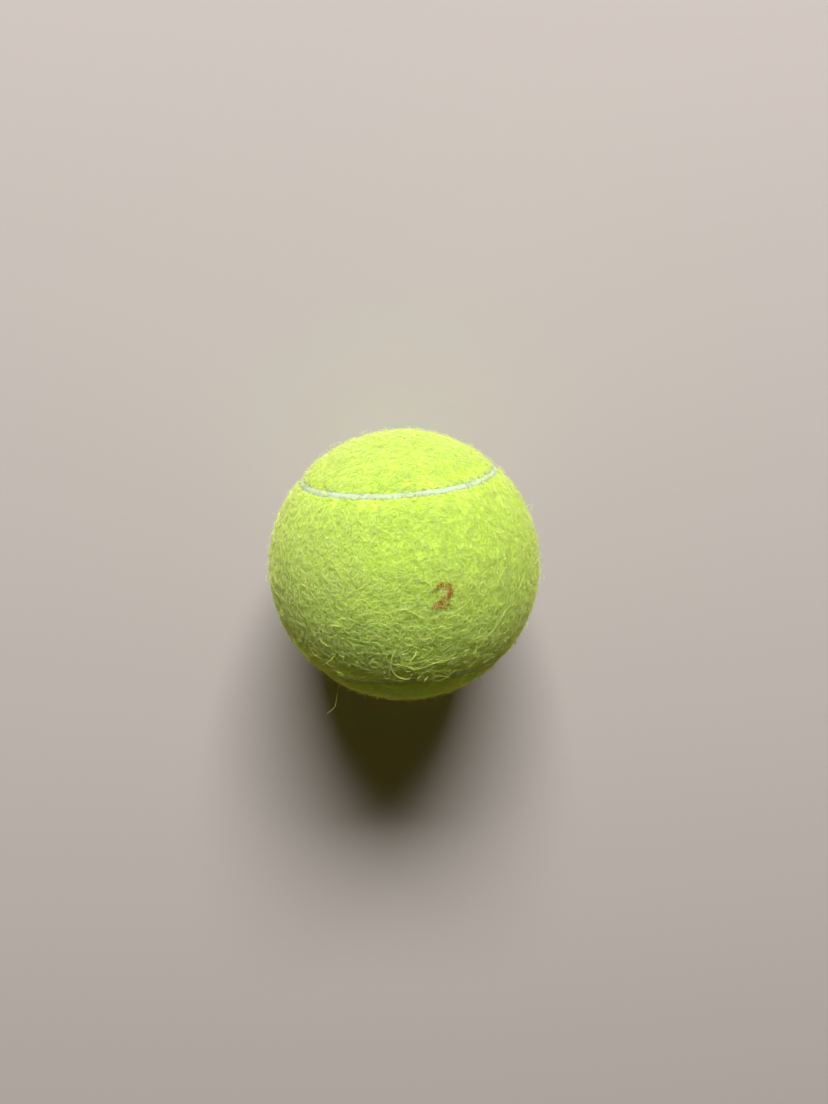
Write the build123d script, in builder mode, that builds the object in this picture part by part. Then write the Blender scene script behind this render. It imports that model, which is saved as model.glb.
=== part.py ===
from build123d import *
from build123d.topology import SkipClean
import os
from math import acos, asin, atan, cos, degrees, radians, sin, sqrt

# A tennis ball. Two moulded rubber half shells are bonded at the equator into a hollow core.
# Two dumbbell panels of felt, each backed with cement, wrap the core and meet along a rubber seam.
# The origin is the ball's centre. Panel a is centred on +Z, with its lobes towards +X and -X.
# Panel b is the same panel turned over: it is centred on -Z, with its lobes towards +Y and -Y.

# Rubber core, in millimetres
core_diameter = 60.0
core_wall = 3.3
rim_bevel = 0.8  # inside each half shell's rim, where the bond's bead sits
bond_thickness = 0.3
bead_height = 0.7  # how far the bond's bead stands into the gas space

# Felt cover, in millimetres
cement_thickness = 0.2
felt_thickness = 3.3
felt_lip_radius = 0.7  # rounding of the felt's edge along the seam

# Seam, in millimetres and degrees
seam_width = 1.6
seam_depth = 0.5  # from the felt's surface down to the edges of the seam
seam_crown = 0.2  # how far the middle of the seam stands above its edges
lobe_tilt = 4.5  # how far each lobe's axis leans past the ball's equator
trim_angle = 3.0  # how far a panel's saddle is drawn past the plane that trims it

# Radii that follow from the sizes above
core_radius = core_diameter / 2
bore_radius = core_radius - core_wall
backing_radius = core_radius + cement_thickness
ball_radius = backing_radius + felt_thickness
seam_edge_radius = ball_radius - seam_depth
half_bond = bond_thickness / 2

# The seam's line is four equal arcs of a circle on the sphere, one round each lobe. Neighbouring
# arcs meet tangent on the equator, midway between their lobes' axes, so the tilt alone gives an
# arc's angle from its lobe's axis and how far it turns about that axis.
lobe_count = 4
lobe_spacing = 360 / lobe_count
lobe_angle = degrees(acos(cos(radians(lobe_tilt)) * cos(radians(lobe_spacing / 2))))
lobe_turn = 180 + 2 * degrees(atan(sin(radians(lobe_tilt))))
seam_half_angle = degrees(seam_width / 2 / ball_radius)


def polar(radius, angle):
    """A point of a section through the ball's centre, at an angle in degrees from its local x."""
    return (radius * cos(radians(angle)), radius * sin(radians(angle)))


def flipped(point):
    """The mirror image of a section's point across its local x."""
    return (point[0], -point[1])


def round_arc(radius, start_angle, end_angle):
    """An arc about the ball's centre, drawn in a section."""
    middle = polar(radius, (start_angle + end_angle) / 2)
    return ThreePointArc(polar(radius, start_angle), middle, polar(radius, end_angle))


def lobe_frame(lobe):
    """A lobe's axis, and the plane of the section where its arc starts, with local y towards the axis.

    The lobes lean down and up by turns: the even ones belong to panel a, the odd ones to panel b.
    """
    lean = 1 if lobe % 2 else -1
    axis = Vector(cos(radians(lobe_tilt)), 0, lean * sin(radians(lobe_tilt)))
    axis = axis.rotate(Axis.Z, lobe * lobe_spacing)
    start = Vector(1, 0, 0).rotate(Axis.Z, (lobe + lean / 2) * lobe_spacing)
    return Axis((0, 0, 0), axis), Plane((0, 0, 0), x_dir=start, z_dir=start.cross(axis))


def panel_section(plane, inner_radius, outer_radius, lip_radius, side, reach):
    """A panel's section from the seam's wall to an angle of reach, on one side of the seam."""
    lip_angle = degrees(asin(lip_radius / (outer_radius - lip_radius)))
    lip_foot_radius = sqrt((outer_radius - lip_radius) ** 2 - lip_radius**2)
    near = side * seam_half_angle
    lip_top = side * (seam_half_angle + lip_angle)
    far = side * reach
    with BuildSketch(plane) as section:
        with BuildLine():
            wall = Line(polar(inner_radius, near), polar(lip_foot_radius, near))
            if lip_radius:
                TangentArc(wall @ 1, polar(outer_radius, lip_top), tangent=wall % 1)
            round_arc(outer_radius, lip_top, far)
            Line(polar(outer_radius, far), polar(inner_radius, far))
            round_arc(inner_radius, far, near)
        make_face()
    return section.sketch


def wrapped_panel(inner_radius, outer_radius, lip_radius):
    """Panel a of one layer of the cover: a saddle between the other panel's lobes, and its own two lobes.

    Faces that run on into each other are left apart, so that each keeps its own cone, torus or sphere.
    """
    with SkipClean(), BuildPart() as panel:
        saddle_axis, plane = lobe_frame(1)
        reach = lobe_angle + trim_angle
        section = panel_section(plane, inner_radius, outer_radius, lip_radius, -1, reach)
        revolve(section, axis=saddle_axis, revolution_arc=lobe_turn)
        split(bisect_by=Plane.XZ, keep=Keep.BOTTOM)
        mirror(about=Plane.XZ)
        for lobe in (0, 2):
            lobe_axis, plane = lobe_frame(lobe)
            section = panel_section(plane, inner_radius, outer_radius, lip_radius, 1, lobe_angle)
            revolve(section, axis=lobe_axis, revolution_arc=lobe_turn, clean=False)
    return panel


# Core: the upper half shell, and the lower one as its mirror image
rim_corner = polar(core_radius, degrees(asin(half_bond / core_radius)))
bevel_foot = (bore_radius + rim_bevel, half_bond)
bevel_angle = degrees(asin((half_bond + rim_bevel) / bore_radius))
bevel_top = polar(bore_radius, bevel_angle)

with BuildPart() as upper_half_shell:
    with BuildSketch(Plane.XZ):
        with BuildLine():
            inner_wall = round_arc(bore_radius, 90, bevel_angle)
            Polyline(bevel_top, bevel_foot, rim_corner)
            outer_wall = ThreePointArc(rim_corner, polar(core_radius, 45), (0, core_radius))
            Line(outer_wall @ 1, inner_wall @ 0)
        make_face()
    revolve(axis=Axis.Z)

with BuildPart() as lower_half_shell:
    mirror(upper_half_shell.part, about=Plane.XY)

# Bond: adhesive between the two rims, with a bead squeezed out into the bevels
with BuildPart() as equator_bond:
    with BuildSketch(Plane.XZ):
        with BuildLine():
            Polyline(rim_corner, bevel_foot, bevel_top)
            Polyline(flipped(rim_corner), flipped(bevel_foot), flipped(bevel_top))
            ThreePointArc(rim_corner, (core_radius, 0), flipped(rim_corner))
            ThreePointArc(bevel_top, (bore_radius - bead_height, 0), flipped(bevel_top))
        make_face()
    revolve(axis=Axis.Z)

# Cover: a cement coat and a felt panel with rolled lips, then the same pair turned over
turnover_axis = Axis((0, 0, 0), (1, 1, 0))
felt_cement_a = wrapped_panel(core_radius, backing_radius, 0)
felt_panel_a = wrapped_panel(backing_radius, ball_radius, felt_lip_radius)

with BuildPart() as felt_cement_b:
    add(felt_cement_a.part.rotate(turnover_axis, 180), clean=False)

with BuildPart() as felt_panel_b:
    add(felt_panel_a.part.rotate(turnover_axis, 180), clean=False)

# Seam: rubber that fills the gap between the panels, from the core to just under the felt's surface
seam_foot = polar(core_radius, seam_half_angle)
seam_edge = polar(seam_edge_radius, seam_half_angle)

with SkipClean(), BuildPart() as seam_rubber:
    for lobe in range(lobe_count):
        lobe_axis, plane = lobe_frame(lobe)
        with BuildSketch(plane):
            with BuildLine():
                Line(seam_foot, seam_edge)
                ThreePointArc(seam_edge, (seam_edge_radius + seam_crown, 0), flipped(seam_edge))
                Line(flipped(seam_edge), flipped(seam_foot))
                round_arc(core_radius, -seam_half_angle, seam_half_angle)
            make_face()
        revolve(axis=lobe_axis, revolution_arc=lobe_turn, clean=False)

# Write each piece to a file of its own name
pieces = {
    "upper_half_shell": upper_half_shell,
    "lower_half_shell": lower_half_shell,
    "equator_bond": equator_bond,
    "felt_cement_a": felt_cement_a,
    "felt_cement_b": felt_cement_b,
    "felt_panel_a": felt_panel_a,
    "felt_panel_b": felt_panel_b,
    "seam_rubber": seam_rubber,
}
os.makedirs("parts", exist_ok=True)
for name, piece in pieces.items():
    piece.part.label = name
    export_step(piece.part, f"parts/{name}.step")
    print(f"{name}: {piece.part.volume:.1f} cubic mm")
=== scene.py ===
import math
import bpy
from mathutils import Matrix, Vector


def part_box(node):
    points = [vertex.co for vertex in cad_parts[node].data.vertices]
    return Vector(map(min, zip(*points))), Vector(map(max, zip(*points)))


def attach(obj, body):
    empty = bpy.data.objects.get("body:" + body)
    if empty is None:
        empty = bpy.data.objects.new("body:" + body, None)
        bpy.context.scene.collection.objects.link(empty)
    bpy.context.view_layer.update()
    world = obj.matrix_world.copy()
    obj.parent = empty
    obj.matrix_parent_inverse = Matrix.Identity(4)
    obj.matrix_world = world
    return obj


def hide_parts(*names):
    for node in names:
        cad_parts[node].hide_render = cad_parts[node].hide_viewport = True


bl_info = {
    "name": "Tennis Ball",
    "version": (1, 0, 0),
    "blender": (4, 5, 0),
    "location": "View3D > Sidebar > Tennis Ball",
    "description": "Dresses a tennis ball's frame in napped felt, loose fibres and rubber",
    "category": "Object",
}

import bmesh
import bpy
import numpy as np
from mathutils import Matrix, Quaternion, Vector, noise

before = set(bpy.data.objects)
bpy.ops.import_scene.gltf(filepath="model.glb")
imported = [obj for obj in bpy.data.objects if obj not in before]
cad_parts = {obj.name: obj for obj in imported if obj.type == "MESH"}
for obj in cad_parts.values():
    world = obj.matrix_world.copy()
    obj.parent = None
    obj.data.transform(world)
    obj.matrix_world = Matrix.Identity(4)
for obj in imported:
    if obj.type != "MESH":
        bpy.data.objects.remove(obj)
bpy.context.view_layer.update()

MM = 0.001
BODY = "root"

# Sizes that the frame gives
BALL_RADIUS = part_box("felt_panel_a")[1].z
BACKING_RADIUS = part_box("felt_cement_a")[1].z
FLOOR_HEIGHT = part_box("felt_panel_b")[0].z
SEAM_RADIUS = max(corner.co.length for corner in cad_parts["seam_rubber"].data.vertices)

# The seam's line is four equal arcs, one round each lobe. Even lobes belong to panel a, odd ones to panel b.
LOBE_COUNT = 4
LOBE_SPACING = 2 * math.pi / LOBE_COUNT
TURNOVER = Matrix.Rotation(math.pi, 4, Vector((1, 1, 0)))

# Steps of the panels' meshes, and how many more the saddle has past the plane that trims it
OUTER_STEPS = 46
INNER_STEPS = 12
LIP_STEPS = 6
WALL_STEPS = 3
TURN_STEPS = 132
TRIM_STEPS = 3
MERGE_DISTANCE = 0.002 * MM

# The cloth's clumps ride on broad swells
SWELL_CLUMPS = 5  # width of a swell, in clumps
SWELL_SHARE = 0.6  # height of a swell, as a share of a clump's

# Light goes a little way through wool, and less far in blue than in the colours that the dye lets through
WOOL_SCATTER = (1.0, 1.0, 0.2)
SCATTER_DEPTH = 0.35 * MM
MATTED_SCATTER = 0.7  # share of the light that goes into wool where it lies close
STRAND_SCATTER = 0.35  # the same where strands lie apart

# Meshes of the fibres, and where a fibre's tint and length lie on its maps
STRAND_SIDES = 3
STRAND_THINNING = 0.4  # how much a fibre thins from its root to its tip
POINT_DISTANCE = 0.00001 * MM
STRAND_MAP = "strand"
BAKE_MAP = "OFBake"
MAP_LEFT = 0.01
MAP_WIDTH = 0.96
MAP_FOOT = 0.02
MAP_HEIGHT = 0.92
SIDE_WIDTH = 0.01  # how far apart a fibre's sides lie on the maps
SIDE_RISE = 0.03

# Paths of all fibres. A pair of numbers is the range of an even draw, unless its comment says otherwise.
FIBRE_STEPS = 3
LOOSE_STEPS = 14
KINK = 0.3  # spread of a fibre's turn at each step, in radians
ROOT_DEPTH = 0.35 * MM
FLOOR_CLEARANCE = 0.08 * MM  # least height of a fibre's line over the floor
FIELD_WAVES = 8  # waves that a smooth random field adds up
WAVE_RATES = (0.7, 1.4)

# Nap: most fibres lie in a bed, a few stand up, and a few are coarse and springy
STANDING_SHARE = 0.06
COARSE_SHARE = 0.07
CROSSING_SHARE = 0.1  # share that is kept of the fibres that reach over the seam
SITE_TRIES = 4  # places tried for each fibre
NAP_DENSITY = 0.8  # share of the places that may grow a fibre
CLUMP_DENSITY = 0.12  # how much a clump adds to that share
NAP_ORDER = 0.25  # how well the fibres follow the brushed swirls
NAP_LENGTHS = (0.5, 1.5)  # as shares of the middle length
STANDING_LENGTH = 0.55  # as a share of the other fibres' lengths
BED_CURL = 0.28  # spread of the curl, in radians a millimetre
SPRINGY_CURL = 0.75
BED_LIFT = (1.6, 0.11)  # shape of a gamma draw, and its scale in millimetres
COARSE_LIFT = (3, 0.15)
STANDING_LIFT = (1.6, 0.3)
STANDING_FOOT = 0.3  # least lift of a standing fibre, in millimetres
SHOULDER = 2.5 * MM  # width of the band where the nap rises from the seam
SHOULDER_LIFT = 0.35  # share of the lift that is left at the seam
BED_TIPS = (0.55, 0.98)  # how far a fibre comes down again: 0.5 stands, and 1 is back in the felt
STANDING_TIPS = (0.5, 0.6)
NAP_WIDTHS = (0.65, 1.15)  # as shares of the middle width, here and below
COARSE_WIDTH = 1.35
STANDING_WIDTH = 0.75
NAP_TINT = (0.5, 0.2)  # middle and spread
CLUMP_TINT = 0.06  # how much paler a clump is

# Fringe: ragged patches of fibres along the seam, pale as its rubber close to it, partly from rubber that
# soaks them and partly as painted light over the shaded groove, and darkened farther out as painted shade
FRINGE_INSET = 0.5 * MM  # width of the band along the seam that the nap leaves to the fringe
FRINGE_START = 0.4  # where the fringe starts, in widths of the seam from its middle
FRINGE_CROWDING = 1.5  # power that crowds the roots towards the seam
FRINGE_SLANT = 0.9  # spread of the slant along the seam, in radians
LEAN_BACK_SHARE = 0.45  # share that leans back over the felt
PATCH_SIZE = 2.2 * MM
PATCH_LENGTH = 0.95  # share of its length that a fibre has in a middling patch
PATCH_SWING = 0.5  # how much that share changes from patch to patch
PATCH_LIMITS = (0.3, 2.4)
FRINGE_LENGTH = (4, 0.21)  # shape of a gamma draw, and its scale in millimetres
FRINGE_LIFT = (2, 0.09)
FRINGE_TIPS = (0.5, 0.85)
FRINGE_DEPTH = 0.1 * MM  # depth of the roots
FRINGE_WIDTHS = (0.9, 1.6)
INSET_TINT = 1.1  # how fast the rubber's colour fades away from the seam, into the fresh tone and then the deep tone of painted shade
PATCH_TINT = 0.3  # how much less rubber, and how much more painted shade, the longer patches have
TINT_SPREAD = 0.12

# Loose fibres: long and curly, and some of them traced one by one
LOOSE_ORDER = 0.4
LOOSE_LENGTHS = (4, 12)  # in millimetres
LOOSE_BENDS = (0.3, 3.6)  # whole turn of a fibre, in radians
LOOSE_WANDER = 0.13  # spread of the change in the turn at each step, in radians
LOOSE_LIFT = (3, 0.27)  # shape of a gamma draw, and its scale in millimetres
LOOSE_TIPS = (0.5, 0.95)
LOOSE_WIDTHS = (1.0, 1.7)
TRACED_LIFT = 1.6 * MM
TRACED_TIP = 0.7
TRACED_ROUNDS = 2  # times that a traced strand's corners are rounded

# Printed number: its bow is part of an ellipse, and its ink is on short fibres that lie on top of the nap
BOW_RISE = 0.28  # half height of the bow, as a share of the number's height
BOW_TURNS = (175, -40)  # degrees, from the bow's start to its end
BOW_STEPS = 12
INK_ORDER = 0.5
INK_LENGTHS = (0.45, 1.0)  # in millimetres
INK_LIFTS = (0.3, 0.58)  # in millimetres
INK_TIPS = (0.6, 0.95)
INK_WIDTHS = (1.5, 2.4)
THIN_INK = 0.7

# The photograph's size in pixels, the camera's sensor in millimetres and its near limit in metres
PHOTO_WIDTH = 828
PHOTO_HEIGHT = 1104
SENSOR_WIDTH = 36
NEAR_LIMIT = 0.01

# Tufts that have been pulled out: a pixel of the photograph, how many fibres, and how wide the tuft spreads
TUFTS = (
    ((410, 655), 22, 4.5 * MM),
    ((420, 676), 14, 3.5 * MM),
    ((428, 632), 20, 7 * MM),
    ((458, 650), 20, 7 * MM),
    ((365, 642), 14, 6 * MM),
    ((334, 656), 8, 4 * MM),
    ((395, 622), 20, 9 * MM),
    ((440, 612), 16, 8 * MM),
    ((350, 627), 14, 8 * MM),
    ((474, 630), 20, 8 * MM),
)

# Long strands that stand out one by one: a width, then pixels of the photograph from root to tip
LONG_STRANDS = (
    (0.20 * MM, (398, 646), (393, 654), (389, 666), (395, 676), (404, 680), (412, 679), (411, 673)),
    (0.18 * MM, (404, 662), (408, 667), (413, 670), (423, 668), (435, 663), (447, 659)),
    (0.18 * MM, (417, 650), (415, 656), (410, 661), (412, 666)),
    (0.15 * MM, (423, 675), (418, 678), (417, 682)),
    (0.15 * MM, (430, 675), (425, 680), (423, 684)),
    (0.18 * MM, (436, 636), (436, 629), (441, 626), (448, 627)),
    (0.15 * MM, (326, 629), (331, 625), (341, 627)),
    (0.15 * MM, (337, 651), (332, 659), (327, 663), (321, 666)),
    (0.08 * MM, (339, 685), (337, 696), (335, 708), (326, 714)),
    (0.10 * MM, (479, 675), (484, 681), (487, 687)),
)


def linear(hex_colour):
    """A written sRGB colour as the linear triple that Blender's colours hold."""
    shares = [int(hex_colour[i : i + 2], 16) / 255 for i in (0, 2, 4)]
    return [s / 12.92 if s <= 0.04045 else ((s + 0.055) / 1.055) ** 2.4 for s in shares]


def opaque(colour):
    """A colour property as the four numbers that a node's colour socket takes."""
    return (*colour, 1.0)


def length(name, description, default):
    """A property that holds a length in metres."""
    return bpy.props.FloatProperty(
        name=name, description=description, default=default, min=0, precision=5,
        subtype="DISTANCE", unit="LENGTH",
    )


def colour(name, description, default):
    """A property that holds a colour."""
    return bpy.props.FloatVectorProperty(
        name=name, description=description, default=linear(default), min=0, max=1, subtype="COLOR"
    )


def count(name, description, default):
    """A property that holds a number of things."""
    return bpy.props.IntProperty(name=name, description=description, default=default, min=0)


class FeltSettings(bpy.types.PropertyGroup):
    """The matted cloth of the two dumbbell panels."""

    seam_width: length("Seam width", "Gap between the panels along the seam", 1.6 * MM)
    seam_crown: length("Seam crown", "How far the middle of the seam stands above its edges", 0.2 * MM)
    lobe_tilt: bpy.props.FloatProperty(
        name="Lobe tilt", description="How far each lobe's axis leans past the equator",
        default=math.radians(4.5), subtype="ANGLE", unit="ROTATION",
    )
    lip_radius: length("Lip radius", "Rounding of the felt's edge along the seam", 0.1 * MM)
    nap_depth: length("Nap depth", "Depth of the fibres over the matted cloth", 0.45 * MM)
    nap_slope: length("Nap slope", "Width of the band where the nap comes down to the seam", 0.9 * MM)
    clump_size: length("Clump size", "Width of the clumps that the cloth mats into", 1.7 * MM)
    clump_height: length("Clump height", "How far the clumps stand out of the cloth", 0.16 * MM)
    # Painted shade: the cloth's colour goes darker in the hollows between its clumps, where its bump sinks.
    painted_shade: colour("Shade", "Colour deep between the clumps", "BAD83C")
    body: colour("Body", "Colour of the matted cloth", "DBF464")


class NapSettings(bpy.types.PropertyGroup):
    """The fibres of the felt's nap."""

    fibre_count: count("Fibres", "Fibres in one piece of the nap", 15000)
    piece_count: count("Pieces", "Pieces of nap on one panel", 4)
    fibre_length: length("Fibre length", "Middle length of a fibre", 3.4 * MM)
    fibre_width: length("Fibre width", "Middle width of a fibre", 0.068 * MM)
    swirl_size: length("Swirl size", "Width of the swirls that the fibres are brushed into", 9 * MM)
    fringe_count: count("Fringe", "Fibres of one panel that lean over the seam", 6400)
    fringe_reach: length("Fringe reach", "Width of the band of felt that the fringe grows from", 1.3 * MM)
    loose_count: count("Loose fibres", "Long fibres that have worked out of the felt", 380)
    # Deep also gives the fringe its painted shade farther from the seam.
    deep: colour("Deep", "Darkest fibres", "CDEC4C")
    fresh: colour("Fresh", "Most of the fibres", "E5FC70")
    pale: colour("Pale", "Palest fibres", "E6FF76")
    loose_colour: colour("Loose colour", "Colour of the long loose fibres", "E8FF6C")
    seed: count("Seed", "Start of the fibres' random draws", 11)


class RubberSettings(bpy.types.PropertyGroup):
    """The seam and the hollow core under the felt."""

    seam_colour: colour("Seam", "Vulcanised rubber of the seam", "BACCA0")
    core_colour: colour("Core", "Moulded rubber of the half shells", "45413C")
    bond_colour: colour("Bond", "Adhesive between the half shells", "8C7350")
    cement_colour: colour("Cement", "Rubber cement under the felt", "D8CCA4")


class NumeralSettings(bpy.types.PropertyGroup):
    """The plain number printed on the felt."""

    height: length("Height", "Height of the number", 5.2 * MM)
    width: length("Width", "Width of the number", 3.8 * MM)
    stroke: length("Stroke", "Width of the number's strokes", 0.95 * MM)
    ink: colour("Ink", "Printing ink that soaks the fibres", "CC7430")
    pixel: bpy.props.FloatVectorProperty(
        name="Pixel", description="The number's middle in the photograph", size=2, default=(443.7, 595.4)
    )
    fibre_count: count("Inked fibres", "Fibres that carry the ink", 215)


class StageSettings(bpy.types.PropertyGroup):
    """Floor, light and camera."""

    floor_size: length("Floor size", "Side of the square floor", 3.0)
    floor_colour: colour("Floor", "Plain pale floor", "B8B1A4")
    window_width: length("Window width", "Width of the soft window", 0.95)
    window_height: length("Window height", "Height of the soft window", 0.45)
    window_power: bpy.props.FloatProperty(
        name="Window power", description="Power of the soft window", default=57, min=0, unit="POWER"
    )
    window_colour: colour("Window colour", "Cool daylight of the soft window", "F4F2FF")
    window_direction: bpy.props.FloatVectorProperty(
        name="Window direction", description="From the ball's centre towards the window",
        default=(0.08, 0.827, 0.556), subtype="DIRECTION",
    )
    card_power: bpy.props.FloatProperty(
        name="Card power", description="Light that a pale card opposite gives back",
        default=2.4, min=0, unit="POWER",
    )
    card_direction: bpy.props.FloatVectorProperty(
        name="Card direction", description="From the ball's centre towards the card",
        default=(0.1, -0.97, 0.2), subtype="DIRECTION",
    )
    lamp_distance: length("Lamp distance", "From the ball's centre to the window and the card", 1.6)
    fill_colour: colour("Fill", "Warm light that the room and the card give back", "FFEE84")
    fill_strength: bpy.props.FloatProperty(
        name="Fill strength", description="Light that the room gives back from all round",
        default=0.036, min=0,
    )
    backdrop_colour: colour("Backdrop", "Plain pale backdrop behind the floor", "DAD5CC")
    camera_distance: length("Camera distance", "From the ball's centre to the lens", 0.2099)
    camera_direction: bpy.props.FloatVectorProperty(
        name="Camera direction", description="From the ball's centre towards the lens",
        default=(-0.0683, 0.2296, 0.9709), subtype="DIRECTION",
    )
    camera_up: bpy.props.FloatVectorProperty(
        name="Camera up", description="Direction that is upright in the picture",
        default=(0.0907, 0.9705, -0.2232), subtype="DIRECTION",
    )
    focal_pixels: bpy.props.FloatProperty(
        name="Focal length", description="Focal length in pixels of the photograph", default=829, min=1
    )
    ball_pixel: bpy.props.FloatVectorProperty(
        name="Ball pixel", description="The ball's centre in the photograph", size=2, default=(404, 564.5)
    )


def blank_material(name):
    """A new material with an empty node tree."""
    material = bpy.data.materials.new(name)
    material.use_nodes = True
    material.node_tree.nodes.clear()
    return material, material.node_tree


def add_node(tree, kind, sockets=None, stops=None, **settings):
    """A new node with its settings, its sockets set or linked, and the stops of its colour ramp."""
    node = tree.nodes.new(kind)
    for name, value in settings.items():
        setattr(node, name, value)
    for name, value in (sockets or {}).items():
        if isinstance(value, bpy.types.NodeSocket):
            tree.links.new(value, node.inputs[name])
        else:
            node.inputs[name].default_value = value
    for index, (position, tone) in enumerate(stops or []):
        ramp = node.color_ramp.elements
        stop = ramp[index] if index < len(ramp) else ramp.new(position)
        stop.position = position
        stop.color = opaque(tone)
    return node


def needled_felt(felt):
    """Needled wool felt: a dull mat, with painted shade where it sinks between its clumps."""
    material, tree = blank_material("needled_wool_felt")
    place = add_node(tree, "ShaderNodeTexCoord")
    clumps = add_node(
        tree, "ShaderNodeTexNoise",
        {"Vector": place.outputs["Object"], "Scale": 1 / felt.clump_size, "Detail": 4.0, "Roughness": 0.65},
    )
    tone = add_node(
        # Painted shade: the noise that bumps the clumps also darkens the cloth where they sink.
        tree, "ShaderNodeValToRGB", {"Fac": clumps.outputs["Fac"]},
        stops=[(0.32, felt.painted_shade), (0.68, felt.body)],
    )
    relief = add_node(
        tree, "ShaderNodeBump",
        {"Height": clumps.outputs["Fac"], "Strength": 0.6, "Distance": felt.clump_height},
    )
    shader = add_node(
        tree, "ShaderNodeBsdfPrincipled",
        {
            "Base Color": tone.outputs["Color"], "Normal": relief.outputs["Normal"], "Roughness": 0.95,
            "Specular IOR Level": 0.0, "Sheen Weight": 0.05, "Sheen Roughness": 0.5,
            "Sheen Tint": opaque(felt.body),
            "Subsurface Weight": MATTED_SCATTER, "Subsurface Radius": WOOL_SCATTER,
            "Subsurface Scale": SCATTER_DEPTH,
        },
    )
    add_node(tree, "ShaderNodeOutputMaterial", {"Surface": shader.outputs["BSDF"]})
    return material


def dyed_fibre(name, stops, scatter):
    """Dyed wool and nylon: matt strands, each of its own tint, that glow where light comes through them."""
    material, tree = blank_material(name)
    strand = add_node(tree, "ShaderNodeUVMap", uv_map=STRAND_MAP)
    along = add_node(tree, "ShaderNodeSeparateXYZ", {"Vector": strand.outputs["UV"]})
    tint = add_node(tree, "ShaderNodeValToRGB", {"Fac": along.outputs["X"]}, stops=stops)
    shader = add_node(
        tree, "ShaderNodeBsdfPrincipled",
        {
            "Base Color": tint.outputs["Color"], "Roughness": 0.8, "Specular IOR Level": 0.0,
            "Subsurface Weight": scatter, "Subsurface Radius": WOOL_SCATTER,
            "Subsurface Scale": SCATTER_DEPTH,
        },
    )
    add_node(tree, "ShaderNodeOutputMaterial", {"Surface": shader.outputs["BSDF"]})
    return material


def mottled_rubber(name, colours, grain_size, relief_height, roughness, gloss):
    """Rubber out of a mould or off a brush: dull, faintly mottled and finely pitted."""
    material, tree = blank_material(name)
    place = add_node(tree, "ShaderNodeTexCoord")
    grain = add_node(
        tree, "ShaderNodeTexNoise",
        {"Vector": place.outputs["Object"], "Scale": 1 / grain_size, "Detail": 5.0, "Roughness": 0.6},
    )
    tone = add_node(
        tree, "ShaderNodeValToRGB", {"Fac": grain.outputs["Fac"]},
        stops=[(0.3, colours[0]), (0.7, colours[1])],
    )
    relief = add_node(
        tree, "ShaderNodeBump",
        {"Height": grain.outputs["Fac"], "Strength": 0.5, "Distance": relief_height},
    )
    shader = add_node(
        tree, "ShaderNodeBsdfPrincipled",
        {
            "Base Color": tone.outputs["Color"], "Normal": relief.outputs["Normal"],
            "Roughness": roughness, "IOR": 1.52, "Specular IOR Level": gloss,
        },
    )
    add_node(tree, "ShaderNodeOutputMaterial", {"Surface": shader.outputs["BSDF"]})
    return material


def plain_floor(stage):
    """Matt painted board: pale and even."""
    material, tree = blank_material("matt_painted_board")
    shader = add_node(
        tree, "ShaderNodeBsdfPrincipled",
        {"Base Color": opaque(stage.floor_colour), "Roughness": 0.85, "Specular IOR Level": 0.0},
    )
    add_node(tree, "ShaderNodeOutputMaterial", {"Surface": shader.outputs["BSDF"]})
    return material


def shaded(tone, share):
    """A colour with each part scaled by a share."""
    return [part * share for part in tone]


def add_piece(name, mesh, material, replaced=()):
    """An object at the origin that rides on the ball and takes its finish from a slot."""
    mesh.materials.append(material)
    piece = bpy.data.objects.new(name, mesh)
    bpy.context.scene.collection.objects.link(piece)
    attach(piece, BODY)
    if replaced:
        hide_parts(*replaced)
    return piece


def dress_node(name, material):
    """Gives a node of the frame its material."""
    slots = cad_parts[name].material_slots
    for slot in slots:
        slot.material = material


def lobe_angle(felt):
    """How far a lobe's arc lies from the lobe's axis."""
    return math.acos(math.cos(felt.lobe_tilt) * math.cos(LOBE_SPACING / 2))


def lobe_turn(felt):
    """How far a lobe's arc turns about the lobe's axis."""
    return math.pi + 2 * math.atan(math.sin(felt.lobe_tilt))


def lobe_frame(felt, lobe):
    """A lobe's axis, the direction where its arc starts, and the direction from there towards the axis."""
    lean = 1 if lobe % 2 else -1
    axis = Vector((math.cos(felt.lobe_tilt), 0, lean * math.sin(felt.lobe_tilt)))
    axis.rotate(Quaternion((0, 0, 1), lobe * LOBE_SPACING))
    start = Vector((1, 0, 0))
    start.rotate(Quaternion((0, 0, 1), (lobe + lean / 2) * LOBE_SPACING))
    inward = (axis - start * axis.dot(start)).normalized()
    return axis, start, inward


def seam_distance(felt, points):
    """Distance on the ball from the seam's middle line: over zero on panel a, under zero on panel b."""
    unit = points / np.linalg.norm(points, axis=-1, keepdims=True)
    nearest = np.full(unit.shape[:-1], np.inf)
    for lobe in range(LOBE_COUNT):
        axis, _, _ = lobe_frame(felt, lobe)
        side = -1 if lobe % 2 else 1
        outward = np.array(axis)
        middle = np.array((0, 0, -side)) + side * outward * axis.z
        middle /= np.linalg.norm(middle)
        angle = np.arccos(np.clip(unit @ outward, -1, 1))
        on_arc = unit @ middle >= np.sin(angle) * math.cos(lobe_turn(felt) / 2)
        distance = side * (lobe_angle(felt) - angle) * BALL_RADIUS
        closer = on_arc & (np.abs(distance) < np.abs(nearest))
        nearest = np.where(closer, distance, nearest)
    return nearest


def nap_radius(felt, distance):
    """Radius that the nap lies at, by distance from the seam's middle line.

    The fibres lie a third of the nap's depth under the ball's surface, and come down to the rubber.
    """
    inset = np.clip((np.abs(distance) - felt.seam_width / 2) / felt.nap_slope, 0, 1)
    drop = felt.nap_depth / 2 * (1 - inset) ** 2
    return np.maximum(BALL_RADIUS - felt.nap_depth / 3 - drop, SEAM_RADIUS - felt.seam_crown)


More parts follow.
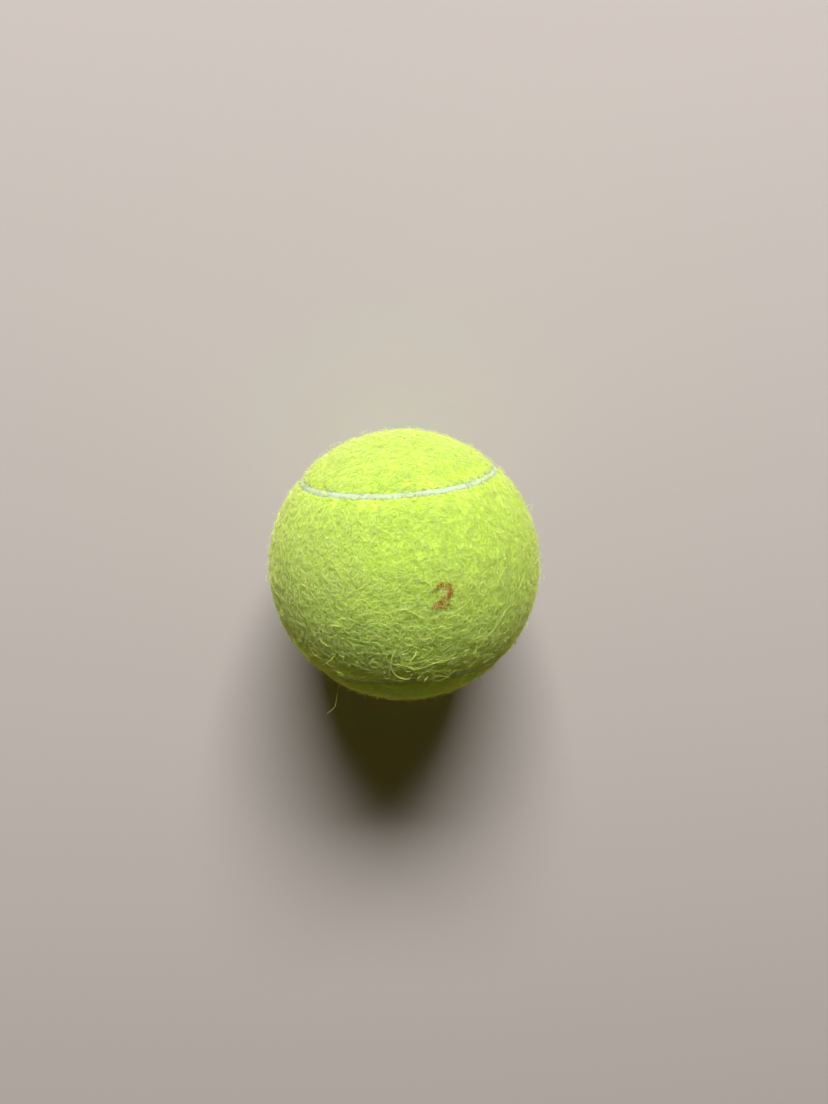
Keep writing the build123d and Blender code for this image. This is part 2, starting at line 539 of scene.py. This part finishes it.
def panel_outline(felt, lobe, side):
    """Points of a panel's section from its outer far end, over the lip at the seam, to its inner far end."""
    _, start, inward = lobe_frame(felt, lobe)
    outer = BALL_RADIUS - felt.nap_depth
    near = felt.seam_width / 2 / BALL_RADIUS
    lip_centre = outer - felt.lip_radius
    lip_span = math.asin(felt.lip_radius / lip_centre)
    lip_top = near + lip_span
    reach = lobe_angle(felt)
    over = TRIM_STEPS if side < 0 else 0

    def polar(radius, angle):
        return radius * (math.cos(angle) * start + side * math.sin(angle) * inward)

    outer_step = (reach - lip_top) / OUTER_STEPS
    points = [polar(outer, lip_top + outer_step * k) for k in range(OUTER_STEPS + over, 0, -1)]
    middle = polar(lip_centre, lip_top)
    out = polar(1, lip_top)
    across = polar(1, lip_top - math.pi / 2)
    for k in range(LIP_STEPS + 1):
        turn = (math.pi / 2 - lip_span) * k / LIP_STEPS
        points.append(middle + felt.lip_radius * (math.cos(turn) * out + math.sin(turn) * across))
    foot = points[-1].length
    for k in range(1, WALL_STEPS + 1):
        points.append(polar(foot + (BACKING_RADIUS - foot) * k / WALL_STEPS, near))
    inner_step = (reach - near) / INNER_STEPS
    points += [polar(BACKING_RADIUS, near + inner_step * k) for k in range(1, INNER_STEPS + over + 1)]
    return points


def spin_outline(shape, felt, lobe, side):
    """Spins a panel's section about a lobe's axis, along the lobe's arc of the seam."""
    corners = [shape.verts.new(point) for point in panel_outline(felt, lobe, side)]
    edges = [shape.edges.new(pair) for pair in zip(corners, corners[1:])]
    bmesh.ops.spin(
        shape, geom=corners + edges, cent=(0, 0, 0), axis=lobe_frame(felt, lobe)[0],
        angle=lobe_turn(felt), steps=TURN_STEPS,
    )


def panel_shape(felt):
    """Panel a's matted cloth: a saddle between two lobes of the other panel, and its own two lobes."""
    shape = bmesh.new()
    spin_outline(shape, felt, 1, -1)
    bmesh.ops.bisect_plane(
        shape, geom=shape.verts[:] + shape.edges[:] + shape.faces[:], dist=MERGE_DISTANCE,
        plane_co=(0, 0, 0), plane_no=(0, 1, 0), clear_inner=True,
    )
    bmesh.ops.mirror(
        shape, geom=shape.verts[:] + shape.edges[:] + shape.faces[:], matrix=Matrix(),
        merge_dist=MERGE_DISTANCE, axis="Y",
    )
    for lobe in (0, 2):
        spin_outline(shape, felt, lobe, 1)
    bmesh.ops.remove_doubles(shape, verts=shape.verts, dist=MERGE_DISTANCE)
    bmesh.ops.recalc_face_normals(shape, faces=shape.faces)
    return shape


def mat_clumps(felt, shape):
    """Lifts and sinks the cloth's outer side into soft clumps, and leaves its backing as it is."""
    depth = BALL_RADIUS - felt.nap_depth - BACKING_RADIUS
    for corner in shape.verts:
        radius = corner.co.length
        share = min(max((radius - BACKING_RADIUS) / depth, 0), 1)
        fine = noise.noise(corner.co / felt.clump_size)
        broad = noise.noise(corner.co / (SWELL_CLUMPS * felt.clump_size))
        corner.co *= 1 + felt.clump_height * share * (fine + SWELL_SHARE * broad) / radius


class TENNISBALL_OT_core(bpy.types.Operator):
    """Give the hollow core and its cement their rubber finishes"""

    bl_idname = "tennis_ball.core"
    bl_label = "Rubber core"

    def execute(self, context):
        rubber = context.scene.ball_rubber
        moulded = mottled_rubber(
            "moulded_filled_rubber", (shaded(rubber.core_colour, 0.8), rubber.core_colour),
            grain_size=3 * MM, relief_height=0.05 * MM, roughness=0.7, gloss=0.5,
        )
        cured = mottled_rubber(
            "cured_rubber_adhesive", (shaded(rubber.bond_colour, 0.75), rubber.bond_colour),
            grain_size=2 * MM, relief_height=0.1 * MM, roughness=0.45, gloss=0.5,
        )
        brushed = mottled_rubber(
            "brushed_rubber_cement", (shaded(rubber.cement_colour, 0.85), rubber.cement_colour),
            grain_size=1.5 * MM, relief_height=0.1 * MM, roughness=0.6, gloss=0.3,
        )
        dress_node("upper_half_shell", moulded)
        dress_node("lower_half_shell", moulded)
        dress_node("equator_bond", cured)
        dress_node("felt_cement_a", brushed)
        dress_node("felt_cement_b", brushed)
        return {"FINISHED"}


class TENNISBALL_OT_seam(bpy.types.Operator):
    """Give the seam its off-white rubber"""

    bl_idname = "tennis_ball.seam"
    bl_label = "Seam"

    def execute(self, context):
        rubber = context.scene.ball_rubber
        vulcanised = mottled_rubber(
            "vulcanised_white_rubber", (shaded(rubber.seam_colour, 0.8), rubber.seam_colour),
            grain_size=1.2 * MM, relief_height=0.08 * MM, roughness=0.65, gloss=0.1,
        )
        dress_node("seam_rubber", vulcanised)
        return {"FINISHED"}


class TENNISBALL_OT_felt(bpy.types.Operator):
    """Model the matted cloth of the two felt panels"""

    bl_idname = "tennis_ball.felt"
    bl_label = "Felt panels"

    def execute(self, context):
        felt = context.scene.ball_felt
        cloth = needled_felt(felt)
        panel_a = panel_shape(felt)
        panel_b = panel_a.copy()
        bmesh.ops.transform(panel_b, matrix=TURNOVER, verts=panel_b.verts)
        for panel, shape in (("a", panel_a), ("b", panel_b)):
            mat_clumps(felt, shape)
            mesh = bpy.data.meshes.new(f"felt_cloth_{panel}")
            shape.to_mesh(mesh)
            shape.free()
            mesh.shade_smooth()
            add_piece(f"felt_cloth_{panel}", mesh, cloth, (f"felt_panel_{panel}",))
        return {"FINISHED"}


def strand_section():
    """The fibres' three-sided section of unit radius, drawn clockwise so that the fibres face outward."""
    outline = bpy.data.curves.new("strand_section", "CURVE")
    outline.dimensions = "2D"
    spline = outline.splines.new("POLY")
    spline.points.add(STRAND_SIDES - 1)
    for side, point in enumerate(spline.points):
        turn = -2 * math.pi * side / STRAND_SIDES
        point.co = (math.cos(turn), math.sin(turn), 0, 1)
    spline.use_cyclic_u = True
    section = bpy.data.objects.new("strand_section", outline)
    bpy.context.scene.collection.objects.link(section)
    return section


def strand_mesh(name, paths, widths, tints):
    """One mesh of fibres with pointed ends, from each one's points, width and tint."""
    section = strand_section()
    bundle = bpy.data.curves.new(name, "CURVE")
    bundle.dimensions = "3D"
    bundle.bevel_mode = "OBJECT"
    bundle.bevel_object = section
    rings = paths.shape[1]
    places = np.concatenate([paths, np.ones(paths.shape[:2] + (1,))], axis=2).astype(np.float32)
    taper = 1 - STRAND_THINNING * np.linspace(0, 1, rings)
    taper[[0, -1]] = 0
    radii = (widths[:, None] / 2 * taper).astype(np.float32)
    for place, radius in zip(places, radii):
        spline = bundle.splines.new("POLY")
        spline.points.add(rings - 1)
        spline.points.foreach_set("co", place.ravel())
        spline.points.foreach_set("radius", radius)
    holder = bpy.data.objects.new(name, bundle)
    bpy.context.scene.collection.objects.link(holder)
    drawn = bpy.context.evaluated_depsgraph_get()
    mesh = bpy.data.meshes.new_from_object(holder.evaluated_get(drawn), depsgraph=drawn)
    for scratch in (holder, section):
        outline = scratch.data
        bpy.data.objects.remove(scratch)
        bpy.data.curves.remove(outline)
    mesh.name = name
    mesh.materials.clear()
    map_strands(mesh, rings, tints)
    close_points(mesh)
    mesh.shade_smooth()
    return mesh


def map_strands(mesh, rings, tints):
    """Maps each fibre's tint across both maps and its length up them, with a little width for each side."""
    corners = np.empty(len(mesh.loops), np.int32)
    mesh.loops.foreach_get("vertex_index", corners)
    strand, place = np.divmod(corners, rings * STRAND_SIDES)
    ring, side = np.divmod(place, STRAND_SIDES)
    across = MAP_LEFT + MAP_WIDTH * tints[strand] + SIDE_WIDTH * side
    up = MAP_FOOT + MAP_HEIGHT * ring / (rings - 1) + SIDE_RISE * (side == 1)
    for name in (STRAND_MAP, BAKE_MAP):
        layer = mesh.uv_layers.new(name=name)
        layer.uv.foreach_set("vector", np.stack([across, up], axis=1).astype(np.float32).ravel())


def close_points(mesh):
    """Closes each fibre by merging the corners that meet at its two points."""
    shape = bmesh.new()
    shape.from_mesh(mesh)
    bmesh.ops.remove_doubles(shape, verts=shape.verts, dist=POINT_DISTANCE)
    bmesh.ops.recalc_face_normals(shape, faces=shape.faces)
    shape.to_mesh(mesh)
    shape.free()


def unit_vectors(vectors):
    """Vectors scaled to a length of one."""
    return vectors / np.linalg.norm(vectors, axis=-1, keepdims=True)


def wave_field(draw, sites, hump_size):
    """A smooth random number for each place on the ball, around zero, with humps of a size."""
    waves = unit_vectors(draw.normal(size=(FIELD_WAVES, 3))) * math.pi / hump_size
    waves *= draw.uniform(*WAVE_RATES, (FIELD_WAVES, 1))
    phases = draw.uniform(0, 2 * math.pi, FIELD_WAVES)
    return np.sin(sites @ waves.T * BALL_RADIUS + phases).sum(axis=1) / math.sqrt(FIELD_WAVES / 2)


def along_surface(sites, vectors):
    """Unit vectors with the part that points out of the ball taken off."""
    return unit_vectors(vectors - sites * np.sum(vectors * sites, axis=1, keepdims=True))


def brushed_headings(draw, sites, swirl_size, order):
    """Directions along the surface that follow swirls, more so the higher the order."""
    sway = np.stack([wave_field(draw, sites, swirl_size) for _ in range(3)], axis=1)
    return along_surface(sites, order * unit_vectors(sway) + unit_vectors(draw.normal(size=sites.shape)))


def fibre_paths(felt, roots, headings, lengths, turns, lifts, tips, root_depth):
    """Points that fibres follow over the ball: out of the felt, along it in a curl, and up or back in.

    turns holds each fibre's turn at each step, and tips how far it has come down again at its end.
    """
    steps = turns.shape[1]
    bend = np.cumsum(turns, axis=1)
    step = (lengths / steps)[:, None]
    still = np.zeros((len(roots), 1))
    along = np.concatenate([still, np.cumsum(np.cos(bend) * step, axis=1)], axis=1)[..., None]
    aside = np.concatenate([still, np.cumsum(np.sin(bend) * step, axis=1)], axis=1)[..., None]
    cross = np.cross(roots, headings)
    sites = unit_vectors(roots[:, None] * BALL_RADIUS + along * headings[:, None] + aside * cross[:, None])
    share = np.linspace(0, 1, steps + 1)
    rise = np.sin(math.pi * share[None] * tips[:, None])
    height = -root_depth + (lifts[:, None] + root_depth) * rise
    distance = seam_distance(felt, sites)
    paths = sites * (nap_radius(felt, distance) + height)[..., None]
    paths[..., 2] = np.maximum(paths[..., 2], FLOOR_HEIGHT + FLOOR_CLEARANCE)
    return paths, distance


def grow_nap(felt, nap, draw, side):
    """Paths, widths and tints of one piece of nap, on panel a where side is 1, or b where it is -1."""
    roots = unit_vectors(draw.normal(size=(SITE_TRIES * nap.fibre_count, 3)))
    matted = wave_field(draw, roots, felt.clump_size)
    dense = draw.random(len(roots)) < NAP_DENSITY + CLUMP_DENSITY * matted
    inset = seam_distance(felt, roots) * side - felt.seam_width / 2
    chosen = dense & (inset > FRINGE_INSET)
    roots = roots[chosen]
    amount = len(roots)
    headings = brushed_headings(draw, roots, nap.swirl_size, NAP_ORDER)
    kind = draw.random(amount)
    standing = kind < STANDING_SHARE
    coarse = kind > 1 - COARSE_SHARE
    lengths = nap.fibre_length * draw.uniform(*NAP_LENGTHS, amount) * np.where(standing, STANDING_LENGTH, 1)
    curl = draw.normal(0, np.where(standing | coarse, SPRINGY_CURL, BED_CURL)) / MM
    turns = (curl * lengths / FIBRE_STEPS)[:, None] + draw.normal(0, KINK, (amount, FIBRE_STEPS))
    lifts = np.where(coarse, draw.gamma(*COARSE_LIFT, amount), draw.gamma(*BED_LIFT, amount)) * MM
    lifts = np.where(standing, (STANDING_FOOT + draw.gamma(*STANDING_LIFT, amount)) * MM, lifts)
    lifts *= np.clip(inset[chosen] / SHOULDER, SHOULDER_LIFT, 1)
    tips = np.where(standing, draw.uniform(*STANDING_TIPS, amount), draw.uniform(*BED_TIPS, amount))
    paths, distance = fibre_paths(felt, roots, headings, lengths, turns, lifts, tips, ROOT_DEPTH)
    clear = (distance * side).min(axis=1) > felt.seam_width / 2
    kept = np.flatnonzero(clear | (draw.random(amount) < CROSSING_SHARE))[: nap.fibre_count]
    widths = nap.fibre_width * draw.uniform(*NAP_WIDTHS, amount)
    widths *= np.where(coarse, COARSE_WIDTH, np.where(standing, STANDING_WIDTH, 1))
    tints = np.clip(draw.normal(*NAP_TINT, amount) + CLUMP_TINT * matted[chosen], 0, 1)
    return paths[kept], widths[kept], tints[kept]


def seam_sites(felt, draw, amount):
    """Places along the seam's middle line, with the way along it and the way towards panel a."""
    frames = [lobe_frame(felt, lobe) for lobe in range(LOBE_COUNT)]
    lobes = draw.integers(0, LOBE_COUNT, amount)
    axes = np.array([axis for axis, _, _ in frames])[lobes]
    starts = np.array([start for _, start, _ in frames])[lobes]
    turn = (lobe_turn(felt) * draw.random(amount))[:, None]
    rise = np.sum(axes * starts, axis=1, keepdims=True)
    sites = starts * np.cos(turn) + np.cross(axes, starts) * np.sin(turn) + axes * rise * (1 - np.cos(turn))
    towards_a = along_surface(sites, axes) * np.where(lobes % 2, -1, 1)[:, None]
    return sites, np.cross(sites, towards_a), towards_a


def grow_fringe(felt, nap, draw, side):
    """Paths, widths and tints of the fibres that one panel has along the seam, in uneven patches."""
    amount = nap.fringe_count
    sites, along, towards_a = seam_sites(felt, draw, amount)
    outward = side * towards_a
    inset_share = draw.random(amount) ** FRINGE_CROWDING
    inset = FRINGE_START * felt.seam_width + nap.fringe_reach * inset_share
    roots = unit_vectors(sites * BALL_RADIUS + outward * inset[:, None])
    slant = draw.normal(0, FRINGE_SLANT, (amount, 1))
    lean = np.where(draw.random((amount, 1)) < LEAN_BACK_SHARE, 1, -1)
    headings = along_surface(roots, along * np.sin(slant) + lean * outward * np.cos(slant))
    ragged = np.clip(PATCH_LENGTH + PATCH_SWING * wave_field(draw, sites, PATCH_SIZE), *PATCH_LIMITS)
    lengths = ragged * draw.gamma(*FRINGE_LENGTH, amount) * MM
    turns = draw.normal(0, KINK, (amount, FIBRE_STEPS))
    lifts = draw.gamma(*FRINGE_LIFT, amount) * MM
    tips = draw.uniform(*FRINGE_TIPS, amount)
    paths, _ = fibre_paths(felt, roots, headings, lengths, turns, lifts, tips, FRINGE_DEPTH)
    widths = nap.fibre_width * draw.uniform(*FRINGE_WIDTHS, amount)
    # The tints carry painted light: pale as the seam at the roots nearest it, deep as painted shade farther
    # out and in longer patches.
    tints = INSET_TINT * inset_share + PATCH_TINT * (ragged - PATCH_LENGTH)
    tints += draw.normal(0, TINT_SPREAD, amount)
    return paths, widths, np.clip(tints, 0, 1)


class TENNISBALL_OT_nap(bpy.types.Operator):
    """Grow the fibres of the felt's nap, and its fringe along the seam"""

    bl_idname = "tennis_ball.nap"
    bl_label = "Nap"

    def execute(self, context):
        felt = context.scene.ball_felt
        nap = context.scene.ball_nap
        draw = np.random.default_rng(nap.seed)
        seam_colour = context.scene.ball_rubber.seam_colour
        dyed_stops = [(0.1, nap.deep), (0.5, nap.fresh), (0.95, nap.pale)]
        # Painted light and shade on the fringe: pale as the seam close to it, deep farther out where the
        # flat fibres would glow brighter than the nap.
        painted_fringe_stops = [(0.3, seam_colour), (0.55, nap.fresh), (0.85, nap.deep)]
        dyed = dyed_fibre("dyed_wool_and_nylon", dyed_stops, MATTED_SCATTER)
        soaked_and_painted_wool = dyed_fibre("soaked_and_painted_fringe_wool", painted_fringe_stops, MATTED_SCATTER)
        for panel, side in (("a", 1), ("b", -1)):
            for k in range(nap.piece_count):
                name = f"nap_{panel}_{k + 1}"
                mesh = strand_mesh(name, *grow_nap(felt, nap, draw, side))
                add_piece(name, mesh, dyed)
            name = f"fringe_{panel}"
            mesh = strand_mesh(name, *grow_fringe(felt, nap, draw, side))
            add_piece(name, mesh, soaked_and_painted_wool)
        return {"FINISHED"}


def pixel_point(stage, pixel, height=0):
    """The place at a height over the ball that a pixel of the photograph shows, or beside the ball."""
    right, up, back = camera_axes(stage)
    shift = (Vector(pixel) - Vector(stage.ball_pixel)) / stage.focal_pixels
    ray = (right * shift.x - up * shift.y - back).normalized()
    lens = back * stage.camera_distance
    half = ray.dot(lens)
    depth = math.sqrt(max(half**2 - lens.length_squared + (BALL_RADIUS + height) ** 2, 0))
    return np.array(lens - ray * (half + depth))


def pixel_site(stage, pixel):
    """The unit vector to the place on the ball that a pixel of the photograph shows."""
    return unit_vectors(pixel_point(stage, pixel))


def traced_path(stage, pixels, lift):
    """Points of a long strand that follows pixels of the photograph over the ball, with round corners."""
    share = np.linspace(0, 1, LOOSE_STEPS + 1)
    pixel_shares = np.linspace(0, 1, len(pixels))
    places = np.stack([np.interp(share, pixel_shares, axis) for axis in zip(*pixels)], axis=1)
    for _ in range(TRACED_ROUNDS):
        places[1:-1] = (places[:-2] + 2 * places[1:-1] + places[2:]) / 4
    heights = -ROOT_DEPTH + (lift + ROOT_DEPTH) * np.sin(math.pi * TRACED_TIP * share)
    return np.array([pixel_point(stage, place, height) for place, height in zip(places, heights)])


class TENNISBALL_OT_loose_fibres(bpy.types.Operator):
    """Add the long curly fibres that have worked out of the felt"""

    bl_idname = "tennis_ball.loose_fibres"
    bl_label = "Loose fibres"

    def execute(self, context):
        felt = context.scene.ball_felt
        nap = context.scene.ball_nap
        stage = context.scene.ball_stage
        draw = np.random.default_rng(nap.seed + 1)
        roots = [draw.normal(size=(nap.loose_count, 3))]
        for pixel, strand_count, spread in TUFTS:
            middle = pixel_site(stage, pixel)
            roots.append(middle + draw.normal(0, spread / BALL_RADIUS / 2, (strand_count, 3)))
        roots = unit_vectors(np.concatenate(roots))
        amount = len(roots)
        headings = brushed_headings(draw, roots, nap.swirl_size, LOOSE_ORDER)
        lengths = draw.uniform(*LOOSE_LENGTHS, amount) * MM
        curl = draw.choice((-1, 1), amount) * draw.uniform(*LOOSE_BENDS, amount) / lengths
        wander = np.cumsum(draw.normal(0, LOOSE_WANDER, (amount, LOOSE_STEPS)), axis=1)
        turns = (curl * lengths / LOOSE_STEPS)[:, None] + wander
        lifts = draw.gamma(*LOOSE_LIFT, amount) * MM
        tips = draw.uniform(*LOOSE_TIPS, amount)
        paths, _ = fibre_paths(felt, roots, headings, lengths, turns, lifts, tips, ROOT_DEPTH)
        widths = nap.fibre_width * draw.uniform(*LOOSE_WIDTHS, amount)
        traced = [traced_path(stage, pixels, TRACED_LIFT) for _, *pixels in LONG_STRANDS]
        paths = np.concatenate([paths, traced])
        widths = np.concatenate([widths, [width for width, *_ in LONG_STRANDS]])
        mesh = strand_mesh("loose_fibres", paths, widths, draw.random(len(paths)))
        stops = [(0.0, nap.pale), (1.0, nap.loose_colour)]
        add_piece("loose_fibres", mesh, dyed_fibre("loose_wool", stops, STRAND_SCATTER))
        return {"FINISHED"}


def numeral_places(numeral, draw):
    """Random places on the strokes of a plain figure two, right and up from its middle."""
    bow = numeral.width / 2
    bow_rise = BOW_RISE * numeral.height
    bow_middle = numeral.height / 2 - bow_rise
    turns = np.radians(np.linspace(*BOW_TURNS, BOW_STEPS))
    line = [(bow * math.cos(turn), bow_middle + bow_rise * math.sin(turn)) for turn in turns]
    line += [(-bow, -numeral.height / 2), (bow, -numeral.height / 2)]
    line = np.array(line)
    reach = np.concatenate([[0], np.cumsum(np.linalg.norm(np.diff(line, axis=0), axis=1))])
    amount = numeral.fibre_count
    drawn = (np.arange(amount) + draw.random(amount)) / amount * reach[-1]
    middle = np.stack([np.interp(drawn, reach, line[:, k]) for k in range(2)], axis=1)
    return middle + draw.uniform(-0.5, 0.5, middle.shape) * numeral.stroke


class TENNISBALL_OT_numeral(bpy.types.Operator):
    """Print the plain number as inked fibres on the nap"""

    bl_idname = "tennis_ball.numeral"
    bl_label = "Number"

    def execute(self, context):
        felt = context.scene.ball_felt
        nap = context.scene.ball_nap
        numeral = context.scene.ball_numeral
        stage = context.scene.ball_stage
        draw = np.random.default_rng(nap.seed + 2)
        middle = pixel_site(stage, numeral.pixel)
        right, up, _ = camera_axes(stage)
        places = numeral_places(numeral, draw)
        roots = unit_vectors(middle * BALL_RADIUS + places @ np.array([right, up]))
        amount = len(roots)
        headings = brushed_headings(draw, roots, nap.swirl_size, INK_ORDER)
        lengths = draw.uniform(*INK_LENGTHS, amount) * MM
        turns = draw.normal(0, KINK, (amount, FIBRE_STEPS))
        lifts = draw.uniform(*INK_LIFTS, amount) * MM
        tips = draw.uniform(*INK_TIPS, amount)
        paths, _ = fibre_paths(felt, roots, headings, lengths, turns, lifts, tips, ROOT_DEPTH)
        widths = nap.fibre_width * draw.uniform(*INK_WIDTHS, amount)
        mesh = strand_mesh("number_ink", paths, widths, draw.random(amount))
        stops = [(0.0, shaded(numeral.ink, THIN_INK)), (1.0, numeral.ink)]
        add_piece("number_ink", mesh, dyed_fibre("inked_wool", stops, STRAND_SCATTER))
        return {"FINISHED"}


class TENNISBALL_OT_stage(bpy.types.Operator):
    """Lay the plain floor, hang the soft window and set the camera"""

    bl_idname = "tennis_ball.stage"
    bl_label = "Stage"

    def execute(self, context):
        stage = context.scene.ball_stage
        lay_floor(stage)
        hang_lights(context.scene, stage)
        set_camera(context.scene, stage)
        return {"FINISHED"}


def lay_floor(stage):
    """A plain square floor under the ball."""
    shape = bmesh.new()
    bmesh.ops.create_grid(shape, x_segments=1, y_segments=1, size=stage.floor_size / 2)
    bmesh.ops.translate(shape, vec=(0, 0, FLOOR_HEIGHT), verts=shape.verts)
    mesh = bpy.data.meshes.new("floor")
    shape.to_mesh(mesh)
    shape.free()
    mesh.materials.append(plain_floor(stage))
    floor = bpy.data.objects.new("floor", mesh)
    bpy.context.scene.collection.objects.link(floor)


def hang_lamp(scene, stage, name, direction, power, tone):
    """A soft lamp of the window's size that faces the ball."""
    light = bpy.data.lights.new(name, "AREA")
    light.color = tone
    light.shape = "RECTANGLE"
    light.size = stage.window_width
    light.size_y = stage.window_height
    light.energy = power
    lamp = bpy.data.objects.new(name, light)
    towards = Vector(direction).normalized()
    lamp.location = towards * stage.lamp_distance
    lamp.rotation_euler = towards.to_track_quat("Z", "Y").to_euler()
    scene.collection.objects.link(lamp)


def pale_room(stage):
    """A room that gives back a little warm light, and that shows as a plain pale backdrop."""
    world = bpy.data.worlds.new("pale_room")
    world.use_nodes = True
    tree = world.node_tree
    tree.nodes.clear()
    path = add_node(tree, "ShaderNodeLightPath")
    mirrored = add_node(
        tree, "ShaderNodeMath",
        {0: path.outputs["Is Glossy Ray"], 1: path.outputs["Is Transmission Ray"]}, operation="ADD",
    )
    seen = add_node(
        tree, "ShaderNodeMath",
        {0: path.outputs["Is Camera Ray"], 1: mirrored.outputs["Value"]}, operation="ADD", use_clamp=True,
    )
    fill = add_node(
        tree, "ShaderNodeBackground", {"Color": opaque(stage.fill_colour), "Strength": stage.fill_strength}
    )
    backdrop = add_node(
        tree, "ShaderNodeBackground", {"Color": opaque(stage.backdrop_colour), "Strength": 1.0}
    )
    room = add_node(
        tree, "ShaderNodeMixShader",
        {0: seen.outputs["Value"], 1: fill.outputs["Background"], 2: backdrop.outputs["Background"]},
    )
    add_node(tree, "ShaderNodeOutputWorld", {"Surface": room.outputs["Shader"]})
    return world


def hang_lights(scene, stage):
    """A large soft window, a pale card opposite, and a dim room."""
    hang_lamp(scene, stage, "window", stage.window_direction, stage.window_power, stage.window_colour)
    hang_lamp(scene, stage, "card", stage.card_direction, stage.card_power, stage.fill_colour)
    scene.world = pale_room(stage)
    scene.view_settings.view_transform = "Standard"


def camera_axes(stage):
    """The picture's right, its up and the way back to the lens, as unit vectors."""
    back = Vector(stage.camera_direction).normalized()
    right = Vector(stage.camera_up).cross(back).normalized()
    return right, back.cross(right), back


def set_camera(scene, stage):
    """A camera where the photograph was taken from."""
    right, up, back = camera_axes(stage)
    lens = bpy.data.cameras.new("camera")
    lens.sensor_width = SENSOR_WIDTH
    lens.lens = lens.sensor_width * stage.focal_pixels / PHOTO_HEIGHT
    lens.shift_x = (PHOTO_WIDTH / 2 - stage.ball_pixel[0]) / PHOTO_HEIGHT
    lens.shift_y = (stage.ball_pixel[1] - PHOTO_HEIGHT / 2) / PHOTO_HEIGHT
    lens.clip_start = NEAR_LIMIT
    camera = bpy.data.objects.new("camera", lens)
    turn = Matrix((right, up, back)).transposed().to_4x4()
    camera.matrix_world = Matrix.Translation(back * stage.camera_distance) @ turn
    scene.collection.objects.link(camera)
    scene.camera = camera


class TENNISBALL_PT_sidebar(bpy.types.Panel):
    """Lists the ball's pieces with their settings"""

    bl_idname = "TENNISBALL_PT_sidebar"
    bl_label = "Tennis Ball"
    bl_space_type = "VIEW_3D"
    bl_region_type = "UI"
    bl_category = "Tennis Ball"

    def draw(self, context):
        for operator in OPERATORS:
            self.layout.operator(operator.bl_idname)
        for name, group in SETTINGS.items():
            box = self.layout.box()
            box.label(text=group.__doc__)
            for key in group.__annotations__:
                box.prop(getattr(context.scene, name), key)


SETTINGS = {
    "ball_felt": FeltSettings,
    "ball_nap": NapSettings,
    "ball_rubber": RubberSettings,
    "ball_numeral": NumeralSettings,
    "ball_stage": StageSettings,
}
OPERATORS = (
    TENNISBALL_OT_core,
    TENNISBALL_OT_seam,
    TENNISBALL_OT_felt,
    TENNISBALL_OT_nap,
    TENNISBALL_OT_loose_fibres,
    TENNISBALL_OT_numeral,
    TENNISBALL_OT_stage,
)
CLASSES = (*SETTINGS.values(), *OPERATORS, TENNISBALL_PT_sidebar)


def register():
    for kind in CLASSES:
        bpy.utils.register_class(kind)
    for name, group in SETTINGS.items():
        setattr(bpy.types.Scene, name, bpy.props.PointerProperty(type=group))


def unregister():
    for name in SETTINGS:
        delattr(bpy.types.Scene, name)
    for kind in reversed(CLASSES):
        bpy.utils.unregister_class(kind)


def main():
    register()
    bpy.ops.tennis_ball.stage()
    bpy.ops.tennis_ball.core()
    bpy.ops.tennis_ball.seam()
    bpy.ops.tennis_ball.felt()
    bpy.ops.tennis_ball.nap()
    bpy.ops.tennis_ball.loose_fibres()
    bpy.ops.tennis_ball.numeral()


if __name__ == "__main__":
    main()
